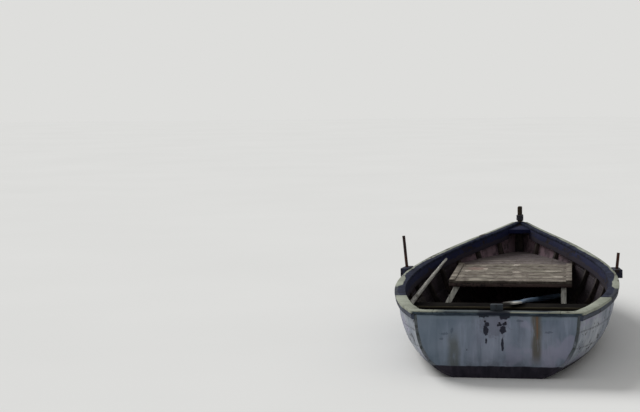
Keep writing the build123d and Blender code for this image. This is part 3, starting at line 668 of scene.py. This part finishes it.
def seat_wood(place):
    return boards(place, SEAT_AFT, SEAT_PITCH, SEAT_PALE, SEAT_BROWN, chalk=DECK_PALE)


finishes["platform"] = finish("platform_wood", platform_wood, 0.15)
finishes["foredeck"] = finish("foredeck_wood", foredeck_wood, 0.15)
finishes["seat"] = finish("seat_wood", seat_wood, 0.15)

# %% [markdown]
# ### The smaller timbers
#
# Rails, blocks, posts, props and pins have no marks of their own, only their colours, their grain and how
# much of the paint is gone. One table of paints and one of woods hold that. The props' wood is near white
# as painted light, since they stand in the platform's shade. The function partial fills a row into the
# paint function and leaves the place open. The oar is painted blue and is bare at its tip.

# %% Plain paints and woods
BARE_PALE, BARE_GREY = rgb(184, 182, 174), rgb(134, 132, 126)
TAR_WOOD, TAR_DARK = rgb(70, 56, 40), rgb(34, 27, 20)
RUST_DARK = rgb(34, 28, 30)
# The props' near-white wood is painted light for their place in the platform's shade.
PROP_LIT_PALE, PROP_LIT_GREY, PROP_DIRT = rgb(238, 238, 228), rgb(206, 204, 194), rgb(128, 122, 112)
PAINTS = (  # finish, material, colour, chalk, share flaked, grain, streaks, gloss
    ("rail", "rail_paint", rgb(36, 42, 56), rgb(66, 73, 86), 0.5, (3, 1, 3), 0.3, 0.2),
    ("block", "block_paint", rgb(28, 29, 44), rgb(50, 54, 76), 0.5, (3, 2, 3), 0.2, 0.2),
    ("sternpost", "post_paint", rgb(32, 38, 46), rgb(56, 62, 68), 0.4, (3, 3, 1), 0.3, 0.2),
    ("edge", "edge_paint", rgb(58, 45, 42), rgb(80, 65, 60), 0.5, (1, 3, 3), 0.2, 0.35),
)
WOODS = (  # finish, material, grain, pale, dark, dirt, how dirty, gloss
    ("frame", "frame_wood", (9, 9, 3), OLD_BROWN, OLD_DARK, GRIME, 0.8, 0.15),
    ("sole", "sole_wood", ALONG_Y, rgb(92, 82, 74), OLD_DARK, GRIME, 0.7, 0.25),
    ("post", "post_wood", ALONG_Z, PROP_LIT_PALE, PROP_LIT_GREY, PROP_DIRT, 0.3, 0.3),
    ("tar", "tar_wood", ALONG_Z, TAR_WOOD, TAR_DARK, rgb(24, 20, 18), 0.5, 0.3),
    ("pin", "pin_wood", ALONG_Z, rgb(82, 50, 36), rgb(44, 27, 22), RUST_DARK, 0.5, 0.3),
    ("spar", "spar_wood", (26, 1.2, 26), BARE_PALE, BARE_GREY, rgb(84, 78, 68), 0.3, 0.3),
)

for key, name, colour, chalk, share, grain, streak, gloss in PAINTS:
    look = {"colour": colour, "chalk": chalk, "under": OLD_DARK, "share": share}
    finishes[key] = finish(name, partial(painted, **look, grain=grain, streak=streak), gloss)
for key, name, grain, pale, dark, dirt, dirty, gloss in WOODS:
    look = {"grain": grain, "pale": pale, "dark": dark, "dirt": dirt, "dirty": dirty}
    finishes[key] = finish(name, partial(wood, **look), gloss)

# %% The oar's paint
OAR_BLUE, OAR_DULL = rgb(58, 84, 108), rgb(104, 122, 142)


def oar_paint(place):
    """Blue paint, bare wood at the blade's tip and darker on its port part."""
    colour, roughness, relief = painted(place, OAR_BLUE, OAR_DULL, BARE_GREY, 0.45, streak=0.1)
    x, y, z = place.axes()
    rag = (place.noise(14, 4, 0.6) - 0.5) * 0.12
    colour = mixed((y + rag).fall(-0.66, -0.60), colour, BARE_PALE)
    # The blade's port part is darkened.
    return mixed((x + rag * 0.3).fall(0.03, 0.06) * 0.85, colour, TAR_DARK), roughness, relief


finishes["oar"] = finish("oar_paint", oar_paint, 0.3)

# %% [markdown]
# ## Fair planks
#
# In the CAD model each strake is straight from one frame to the next. A real plank is bent round the
# frames and takes one fair curve. The corners of a strake at every frame are read from its solid, a
# smooth line is run through each row of corners, as a builder lays a batten, and the faces between the
# lines are made with Bridge Loops.

# %% Read a timber's corners and bend battens through them
BAY_STEPS = 7  # pieces of a batten from one frame to the next
HEART_Z = 0.35  # height of a point on the centreline that inner corners are nearer to
SHARP = radians(25)  # an edge that turns more than this is one of a timber's own


def corner_order(ring):
    """Outer low, outer high, inner high, inner low corner of one side's timber."""
    ring = sorted(ring, key=lambda corner: abs(corner.x) + corner.z)
    low, high = ring[:2], ring[2:]

    def out(corner):
        return hypot(corner.x, corner.z - HEART_Z)

    return max(low, key=out), max(high, key=out), min(high, key=out), min(low, key=out)


def corner_rows(node):
    """The four rows of corners, from stern to bow, of a CAD timber's starboard solid."""
    mesh = bmesh.new()
    mesh.from_mesh(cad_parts[node].data)
    bmesh.ops.remove_doubles(mesh, verts=mesh.verts, dist=WELD)
    corners = []
    for vertex in mesh.verts:
        sharp = sum(edge.calc_face_angle(0) > SHARP for edge in vertex.link_edges)
        bays = (vertex.co.y - STERN_Y) / STATION_PITCH
        at_frame = abs(bays - round(bays)) * STATION_PITCH < WELD
        if vertex.co.x > 0 and (sharp > 2 or sharp == 2 and at_frame):
            corners.append(vertex.co.copy())
    mesh.free()
    corners.sort(key=lambda corner: corner.y)
    rings = [corner_order(corners[n : n + 4]) for n in range(0, len(corners), 4)]
    return [list(row) for row in zip(*rings)]


def batten(points):
    """A fair line through points."""
    ends = [2 * points[0] - points[1], *points, 2 * points[-1] - points[-2]]
    line = []
    for before, a, b, after in zip(ends, ends[1:], ends[2:], ends[3:]):
        line += interpolate_bezier(a, a + (b - before) / 6, b - (after - a) / 6, b, BAY_STEPS + 1)[:-1]
    return [point.copy() for point in line] + [points[-1].copy()]


def sided(lines, side):
    """Starboard lines, or their mirror images to port."""
    return [[Vector((point.x * side, point.y, point.z)) for point in line] for line in lines]


# %% Helpers that turn a bmesh into a finished piece of the boat
CREASE = radians(32)  # an edge that turns more than this is shaded sharp


def new_piece(name, mesh, material, slot, *nodes):
    """An object from a bmesh that rides on the boat and stands for CAD nodes."""
    bmesh.ops.recalc_face_normals(mesh, faces=mesh.faces)
    data = bpy.data.meshes.new(name)
    mesh.to_mesh(data)
    mesh.free()
    data.shade_smooth()
    data.set_sharp_from_angle(angle=CREASE)
    for each in material if isinstance(material, list) else [material]:
        data.materials.append(finishes[each])
    piece = bpy.data.objects.new(name, data)
    bpy.context.scene.collection.objects.link(piece)
    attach(piece, "root")
    if nodes:
        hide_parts(*nodes)


def lofted(mesh, lines, across=None, inner=None):
    """Faces between neighbouring lines, closed at both ends. Those after line inner get material 1."""
    layer = mesh.verts.layers.float.get("across") or mesh.verts.layers.float.new("across")
    chains, ends = [], []
    for n, line in enumerate(lines):
        row = [mesh.verts.new(point) for point in line]
        for vertex in row:
            vertex[layer] = across[n] if across else 0
        chains.append([mesh.edges.new(pair) for pair in zip(row, row[1:])])
        ends.append((row[0], row[-1]))
    for n, (one, other) in enumerate(zip(chains, chains[1:] + chains[:1])):
        made = bmesh.ops.bridge_loops(mesh, edges=one + other)["faces"]
        for face in made if n == inner else ():
            face.material_index = 1
    for end in zip(*ends):
        mesh.faces.new(end)
    return chains


def rounded(mesh, edges, width, segments=2):
    """Rounds edges. Bevel's defaults differ from the editor's, so its profile and material are given."""
    shape = {"segments": segments, "profile": 0.5, "affect": "EDGES", "material": -1, "clamp_overlap": True}
    bmesh.ops.bevel(mesh, geom=edges, offset=width, **shape)


# %% [markdown]
# Each plank is also rounded across: a line down its middle is set out to the curve that the seams make
# with their neighbours, so the turn of the bilge is round and not seven flats. A carvel seam is open
# outside, for the caulking, and tight inside, so the inner lower corner is set a millimetre on into the
# plank below.

# %% Strakes
STRAKES = ("garboards", "strakes_2", "strakes_3", "strakes_4", "strakes_5", "strakes_6", "sheer_strakes")
BOTTOM_STRAKES = STRAKES[:3]
SEAM_ROUND, INNER_ROUND = 2.5 * MM, 0.8 * MM
SEAM_TIGHT = 1.2 * MM

rows = {name: corner_rows(name) for name in STRAKES}
seams = [rows[name][0] for name in STRAKES] + [rows[STRAKES[-1]][1]]


def crown(k):
    """Row of points down the middle of strake k, on the curve through the seams."""
    below = seams[k - 1] if k else [2 * a - b for a, b in zip(seams[0], seams[1])]
    above = seams[k + 2] if k + 2 < len(seams) else [2 * b - a for a, b in zip(seams[-2], seams[-1])]
    return [(9 * (a + b) - (c + d)) / 16 for a, b, c, d in zip(seams[k], seams[k + 1], below, above)]


plank_lines = {}
for k, name in enumerate(STRAKES):
    outer_low, outer_high, inner_high, inner_low = rows[name]
    tight_low = [low + (low - high).normalized() * SEAM_TIGHT for low, high in zip(inner_low, inner_high)]
    lines = [batten(row) for row in (outer_low, crown(k), outer_high, inner_high, tight_low)]
    plank_lines[name] = lines
    mesh = bmesh.new()
    outside, inside = [], []
    for side in SIDES:
        chains = lofted(mesh, sided(lines, side), across=(0, 0.5, 1, 1, 0), inner=3)
        outside += chains[0] + chains[2]
        inside += chains[3] + chains[4]
    rounded(mesh, outside, SEAM_ROUND)
    rounded(mesh, inside, INNER_ROUND, 1)
    slot = "bottom_paint" if name in BOTTOM_STRAKES else "hull_paint"
    new_piece(f"fair_{name}", mesh, ["strake", "skin"], slot, name)
print("strakes a side:", len(STRAKES), "with", len(lines[0]), "points along each line")

# %% [markdown]
# ## Rails
#
# The gunwale caps, rub rails, inwales, risers and shelves are bent along the same frames, so they take
# the same battens. Their long edges are worn round, the caps' and the rub rails' most of all.

# %% Rails and stringers
CAP_ACROSS = (0.7, 0.3, 0, 1)  # a flat cap's corners are read from its inner upper one, over the outer edge
RAIL_ACROSS = (1, 0, 0, 1)  # an upright rail's from its outer lower one: 0 at the top, 1 at the foot
RAILS = (  # node, edge rounding, measure across, finish, slot
    ("gunwale_caps", 4 * MM, CAP_ACROSS, "cap", "cap_paint"),
    ("rub_rails", 5 * MM, RAIL_ACROSS, "rail", "rail_paint"),
    ("inwales", 2 * MM, RAIL_ACROSS, "inside", "inside_paint"),
    ("risers", 2 * MM, RAIL_ACROSS, "frame", "frame_wood"),
    ("deck_shelves", 2 * MM, RAIL_ACROSS, "frame", "frame_wood"),
)

for node, width, across, material, slot in RAILS:
    mesh = bmesh.new()
    lines = [batten(row) for row in corner_rows(node)]
    long_edges = []
    for side in SIDES:
        long_edges += sum(lofted(mesh, sided(lines, side), across=across), [])
    rounded(mesh, long_edges, width)
    new_piece(f"fair_{node}", mesh, material, slot, node)
print("bent rails:", len(RAILS), "pairs")

# %% [markdown]
# ## Softened timbers
#
# Sawn timbers keep the CAD model's shape, but no old timber has a knife edge or a dead straight face.
# Each is copied, its triangles are welded and merged to whole faces, and its sharp edges are rounded by a
# few millimetres. Boards, props, pins and the pole are then cut across every six centimetres, and a slow
# noise moves the points by a millimetre or two.

# %% Timbers with worn edges
TIMBERS = (  # node, edge rounding, waver, axis of the cuts, finish or outer and inner finish, slot
    ("transom", 2 * MM, 0, None, ["transom", "skin"], "hull_paint"),
    ("transom_cap", 4 * MM, 1.2 * MM, 0, "stern_cap", "cap_paint"),
    ("quarter_boards", 4 * MM, 0, None, "stern_cap", "cap_paint"),
    ("sternpost", 5 * MM, 0, None, "sternpost", "rail_paint"),
    ("stern_knee", 3 * MM, 0, None, "frame", "frame_wood"),
    ("keel", 4 * MM, 0, None, ["strake", "skin"], "bottom_paint"),
    ("skeg", 4 * MM, 0, None, "strake", "bottom_paint"),
    ("stem", 4 * MM, 0, None, "tar", "dark_wood"),
    ("apron", 2 * MM, 0, None, "frame", "frame_wood"),
    ("floor_timbers", 2 * MM, 0, None, "frame", "frame_wood"),
    ("frames_port", 2 * MM, 0, None, "frame", "frame_wood"),
    ("frames_starboard", 2 * MM, 0, None, "frame", "frame_wood"),
    ("breasthook", 2 * MM, 0, None, "inside", "inside_paint"),
    ("thwart", 4 * MM, 1.5 * MM, 0, "thwart", "deck_wood"),
    ("stern_seat", 4 * MM, 1.5 * MM, 0, "seat", "deck_wood"),
    ("floorboards", 2 * MM, 1.5 * MM, 1, "sole", "deck_wood"),
    ("platform_planks", 4 * MM, 2 * MM, 0, "platform", "deck_wood"),
    ("platform_header", 4 * MM, 1.5 * MM, 0, "edge", "edge_wood"),
    ("platform_bearers", 2 * MM, 0, None, "frame", "frame_wood"),
    ("platform_battens", 3 * MM, 1.2 * MM, 1, "platform", "deck_wood"),
    ("deck_beams", 2 * MM, 0, None, "frame", "frame_wood"),
    ("foredeck_planks", 4 * MM, 2 * MM, 0, "foredeck", "deck_wood"),
    ("platform_props", 4 * MM, 1.2 * MM, 2, "post", "pale_wood"),
    ("thole_blocks", 8 * MM, 1.5 * MM, 1, "block", "rail_paint"),
    ("thole_pins", 1.5 * MM, 1 * MM, 2, "pin", "dark_wood"),
    ("oars", 1.5 * MM, 0, None, "oar", "pale_wood"),
    ("pole", 2 * MM, 1.5 * MM, 1, "spar", "pale_wood"),
)
FLAT = radians(0.6)  # faces that meet at less are one face
INWARD = 0.9  # the sum of a normal's forward and upward parts, past which a face looks into the boat
CUT_PITCH = 0.06
WAVER_LENGTH = 0.09
WAVER_SEED = 1
noise.seed_set(WAVER_SEED)  # without a seed the noise is new in each run


def worn_copy(node, width):
    """A bmesh of a CAD node with whole faces and rounded edges."""
    mesh = bmesh.new()
    mesh.from_mesh(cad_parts[node].data)
    bmesh.ops.remove_doubles(mesh, verts=mesh.verts, dist=WELD)
    bmesh.ops.dissolve_limit(mesh, angle_limit=FLAT, verts=mesh.verts, edges=mesh.edges)
    sharp = [edge for edge in mesh.edges if edge.is_manifold and edge.calc_face_angle(0) > SHARP]
    rounded(mesh, sharp, width)
    return mesh


def wavered(mesh, axis, size):
    """Cuts a mesh across an axis and moves its points by a slow noise, along the other two axes."""
    places = [vertex.co[axis] for vertex in mesh.verts]
    normal = Vector([n == axis for n in range(3)])
    at = min(places) + CUT_PITCH / 2
    while at < max(places):
        everything = mesh.verts[:] + mesh.edges[:] + mesh.faces[:]
        bmesh.ops.bisect_plane(mesh, geom=everything, dist=WELD, plane_co=normal * at, plane_no=normal)
        at += CUT_PITCH
    for vertex in mesh.verts:
        moved = noise.noise_vector(vertex.co / WAVER_LENGTH) * size
        moved[axis] = 0
        vertex.co += moved


for node, width, waver, axis, material, slot in TIMBERS:
    mesh = worn_copy(node, width)
    if waver:
        wavered(mesh, axis, waver)
    mesh.normal_update()
    for face in mesh.faces if isinstance(material, list) else ():
        face.material_index = int(face.normal.y + face.normal.z > INWARD)
    new_piece(f"worn_{node}", mesh, material, slot, node)
print("softened timbers:", len(TIMBERS))

# %% [markdown]
# ## Nails and bolts
#
# Two nails hold each strake to each frame. A quadratic through a strake's lower edge, crown and upper
# edge gives the place and the slope of each head. Iron nails also hold the boards down, and three bolts
# are left in the transom. A head is a low cone with its top cut off, set a little into the wood, because
# hundreds of them have to stay light.

# %% Iron
def iron(place, dark, light):
    """Rough scale in two tones."""
    scale = place.noise(220, 5, 0.7)
    return mixed(scale.rise(0.35, 0.65), dark, light), 0.8 + scale * 0.1, scale * 0.5


finishes["iron"] = finish("rusty_iron", partial(iron, dark=RUST_DARK, light=RUST), 0.4)
finishes["bolt"] = finish("dark_iron", partial(iron, dark=rgb(18, 19, 30), light=rgb(44, 40, 44)), 0.2)

# %% Nail heads in the planking
NAIL_RADIUS, NAIL_PROUD = 4.5 * MM, 1.4 * MM
NAIL_SIDES = 8
NAIL_FACES = NAIL_SIDES + 2
NAIL_SHARES = (0.2, 0.8)  # of a plank's width
HEAD_TAPER, HEAD_SUNK = 0.72, 0.3
LEVEL = 0.3  # planking whose normal leans out less than this is told by its under side


def head(mesh, place, outward, radius, proud, sides=NAIL_SIDES):
    """A low domed head on a surface."""
    turn = UP.rotation_difference(outward).to_matrix().to_4x4()
    set_in = Matrix.Translation(place + outward.normalized() * (proud / 2 - proud * HEAD_SUNK)) @ turn
    shape = {"radius1": radius, "radius2": radius * HEAD_TAPER, "depth": proud}
    bmesh.ops.create_cone(mesh, cap_ends=True, segments=sides, **shape, matrix=set_in)


mesh = bmesh.new()
for name in STRAKES:
    low, crowned, high = plank_lines[name][:3]
    for n in range(BAY_STEPS, len(low) - 1, BAY_STEPS):
        for t in NAIL_SHARES:
            weights = (2 * (t - 0.5) * (t - 1), 4 * t * (1 - t), 2 * t * (t - 0.5))
            slopes = (4 * t - 3, 4 - 8 * t, 4 * t - 1)
            at, after, across = Vector(), Vector(), Vector()
            for line, weight, slope in zip((low, crowned, high), weights, slopes):
                at += line[n] * weight
                after += line[n + 1] * weight
                across += line[n] * slope
            along = (after - at).normalized()
            place, outward = at + along * FRAME_MIDDLE, along.cross(across)
            level = abs(outward.x) < LEVEL * outward.length
            outward = outward if outward.x > 0 or level and outward.z < 0 else -outward
            for side in SIDES:
                mirrored = Vector((side, 1, 1))
                head(mesh, place * mirrored, outward * mirrored, NAIL_RADIUS, NAIL_PROUD)
print("strake nails:", len(mesh.faces) // NAIL_FACES)
new_piece("strake_nails", mesh, "iron", "rail_paint")

# %% Nail heads in the boards
DECK_TOP, SEAT_TOP = 0.35, 0.245
WIDE_END = FOREDECK_AFT + 3 * FOREDECK_PITCH  # forward of it the foredeck takes two nails across
BOARD_NAILS = (  # after seam, pitch, boards, top, places across, reach fore and aft of a board's middle
    (PLATFORM_AFT, PLATFORM_PITCH, 6, DECK_TOP, (-0.404, 0.404), 0.05),
    (FOREDECK_AFT, FOREDECK_PITCH, 3, DECK_TOP, (-0.30, 0, 0.30), 0.04),
    (WIDE_END, FOREDECK_PITCH, 3, DECK_TOP, (-0.09, 0.09), 0.04),
    (SEAT_AFT, SEAT_PITCH, 3, SEAT_TOP, (-0.44, 0.44), 0.035),
)

mesh = bmesh.new()
for seam, pitch, count, top, places, reach in BOARD_NAILS:
    for n in range(count):
        middle = seam + (n + 0.5) * pitch
        for x in places:
            for y in (middle - reach, middle + reach):
                head(mesh, Vector((x, y, top)), UP, NAIL_RADIUS, NAIL_PROUD)
print("board nails:", len(mesh.faces) // NAIL_FACES)
new_piece("board_nails", mesh, "iron", "rail_paint")

# %% Bolts in the transom
BOLTS = ((-0.072, 0.372), (0.018, 0.362), (0.056, 0.366))  # across and up the transom
BOLT_RADIUS, BOLT_PROUD, BOLT_SIDES = 8 * MM, 5 * MM, 6
ASTERN = Vector((0, -cos(TRANSOM_RAKE), -sin(TRANSOM_RAKE)))

mesh = bmesh.new()
for x, z in BOLTS:
    place = Vector((x, STERN_Y + tan(TRANSOM_RAKE) * (TRANSOM_TOP - z), z))
    head(mesh, place, ASTERN, BOLT_RADIUS, BOLT_PROUD, BOLT_SIDES)
new_piece("transom_bolts", mesh, "bolt", "hull_paint")
print("bolts:", len(BOLTS))

# %% [markdown]
# ## Rope on the stem head
#
# A few turns of old rope are left round the stem head. Their path is a flat helix round the head's
# rounded square, and a ring of eight points follows it. Its ends are tucked into the head, as a real
# rope's end is under its own turns.


# %% Rope turns
ROPE_DARK, ROPE_PALE = rgb(34, 34, 44), rgb(82, 80, 84)
ROPE_RADIUS, ROPE_TURNS, ROPE_STEPS = 6 * MM, 4, 20
HEAD_MIDDLE, HEAD_HALF = Vector((0, 2.1313, 0.604)), (0.020, 0.031)
SQUARENESS = 4  # 2 would be a circle


def rope_fibre(place):
    lay = place.noise(160, 3, 0.5)
    return mixed(lay.rise(0.35, 0.65), ROPE_DARK, ROPE_PALE), 0.92, lay * 0.8


def tube(mesh, points, radius, sides=8):
    """A round skin along points, closed at both ends."""
    rings = []
    for before, at, after in zip(points[:1] + points, points, points[1:] + points[-1:]):
        along = (after - before).normalized()
        up = (UP - along * along.z).normalized()
        out = along.cross(up)
        turns = [2 * pi * k / sides for k in range(sides)]
        rings.append([at + (up * cos(turn) + out * sin(turn)) * radius for turn in turns])
    lofted(mesh, list(zip(*rings)))


def squared(angle):
    """Distance round the head, a circle drawn out towards a square."""
    return (abs(cos(angle)) ** SQUARENESS + abs(sin(angle)) ** SQUARENESS) ** (-1 / SQUARENESS)


finishes["rope"] = finish("rope_fibre", rope_fibre, 0.1)
path = []
for step in range(ROPE_TURNS * ROPE_STEPS + 1):
    angle = 2 * pi * step / ROPE_STEPS
    reach_x = HEAD_HALF[0] * squared(angle) + ROPE_RADIUS
    reach_y = HEAD_HALF[1] * squared(angle) + ROPE_RADIUS
    rise = step / ROPE_STEPS * 2 * ROPE_RADIUS
    path.append(HEAD_MIDDLE + Vector((reach_x * cos(angle), reach_y * sin(angle), rise + ROPE_RADIUS)))
tucked = [end.lerp(Vector((*HEAD_MIDDLE.xy, end.z)), 0.5) for end in (path[0], path[-1])]
mesh = bmesh.new()
tube(mesh, [tucked[0], *path, tucked[1]], ROPE_RADIUS)
print("rope turns:", ROPE_TURNS, "of", ROPE_STEPS, "steps")
new_piece("stem_rope", mesh, "rope", "dark_wood")

# %% [markdown]
# ## The floor at the waterline
#
# The boat floats, so the studio floor lies at its waterline. The floor has a hole with the hull's outline
# there, cut halfway through the planks, so that no floor shows inside the boat. Triangle Fill makes the
# faces between the two outlines, which spares a Boolean.

# %% Floor with a hole for the hull
FLOOR_TONE, FLOOR_CLOUD = rgb(222, 222, 220), rgb(228, 228, 226)
FLOOR_REACH = 60
STERN_MARGIN = 0.012


def waterline():
    """Starboard points, from stern to bow, where the middle of the planking passes the waterline."""
    middles = []
    for name in STRAKES:
        outer_low, _, _, _, inner_low = plank_lines[name]
        middles.append([(a + b) / 2 for a, b in zip(outer_low, inner_low)])
    _, _, outer_high, inner_high, _ = plank_lines[STRAKES[-1]]
    middles.append([(a + b) / 2 for a, b in zip(outer_high, inner_high)])
    points = []
    for section in zip(*middles):
        for low, high in zip(section, section[1:]):
            if low.z <= 0 < high.z:
                points.append(low.lerp(high, -low.z / (high.z - low.z)))
                break
    points[0].y += STERN_MARGIN
    return points


def floor_paint(place):
    return mixed(place.noise(0.4, 2), FLOOR_TONE, FLOOR_CLOUD), 0.9, 0


half_loop = waterline()
loop = [(p.x, p.y, 0) for p in half_loop] + [(-p.x, p.y, 0) for p in reversed(half_loop)]
square = [(x * FLOOR_REACH, y * FLOOR_REACH, 0) for x, y in ((1, -1), (1, 1), (-1, 1), (-1, -1))]
mesh = bmesh.new()
for outline in (loop, square):
    corners = [mesh.verts.new(point) for point in outline]
    for pair in zip(corners, corners[1:] + corners[:1]):
        mesh.edges.new(pair)
bmesh.ops.triangle_fill(mesh, edges=mesh.edges, use_beauty=True, use_dissolve=False, normal=UP)
print("floor faces:", len(mesh.faces), "round an outline of", len(loop), "points")
data = bpy.data.meshes.new("floor")
mesh.to_mesh(data)
mesh.free()
data.materials.append(finish("floor_paint", floor_paint, 0.0))
floor = bpy.data.objects.new("floor", data)
bpy.context.scene.collection.objects.link(floor)

# %% [markdown]
# ## Light
#
# A pale even world lights the boat from all round. One large soft lamp stands over the port bow: it
# lights the decks, the caps and the port planking and leaves the transom in the shade. Rays from the
# camera see the backdrop in the floor's own tone, so that no line parts them.

# %% World and lamp
WORLD_STRENGTH = 0.48
KEY_STRENGTH, KEY_SPREAD = 2.4, radians(30)
KEY_TURN = (radians(-30), radians(-44), 0)

world = bpy.data.worlds.new("studio")
bpy.context.scene.world = world
world.use_nodes = True
glow = world.node_tree.nodes["Background"]
glow.inputs["Color"].default_value = (1, 1, 1, 1)
glow.inputs["Strength"].default_value = WORLD_STRENGTH
view = Wire(world.node_tree.nodes.new("ShaderNodeLightPath").outputs["Is Camera Ray"])
backdrop = view.node("ShaderNodeBackground", {}, {"Color": FLOOR_TONE, "Strength": 1.0})
both = view.node("ShaderNodeMixShader", {}, {0: view, 1: Wire(glow.outputs[0]), 2: backdrop})
plug(world.node_tree.nodes["World Output"].inputs["Surface"], both)

lamp = bpy.data.lights.new("soft_key", "SUN")
lamp.energy = KEY_STRENGTH
lamp.angle = KEY_SPREAD
key = bpy.data.objects.new("soft_key", lamp)
key.rotation_euler = KEY_TURN
bpy.context.scene.collection.objects.link(key)
print("lights:", world.name, key.name)

# %% Finish
bpy.context.view_layer.update()
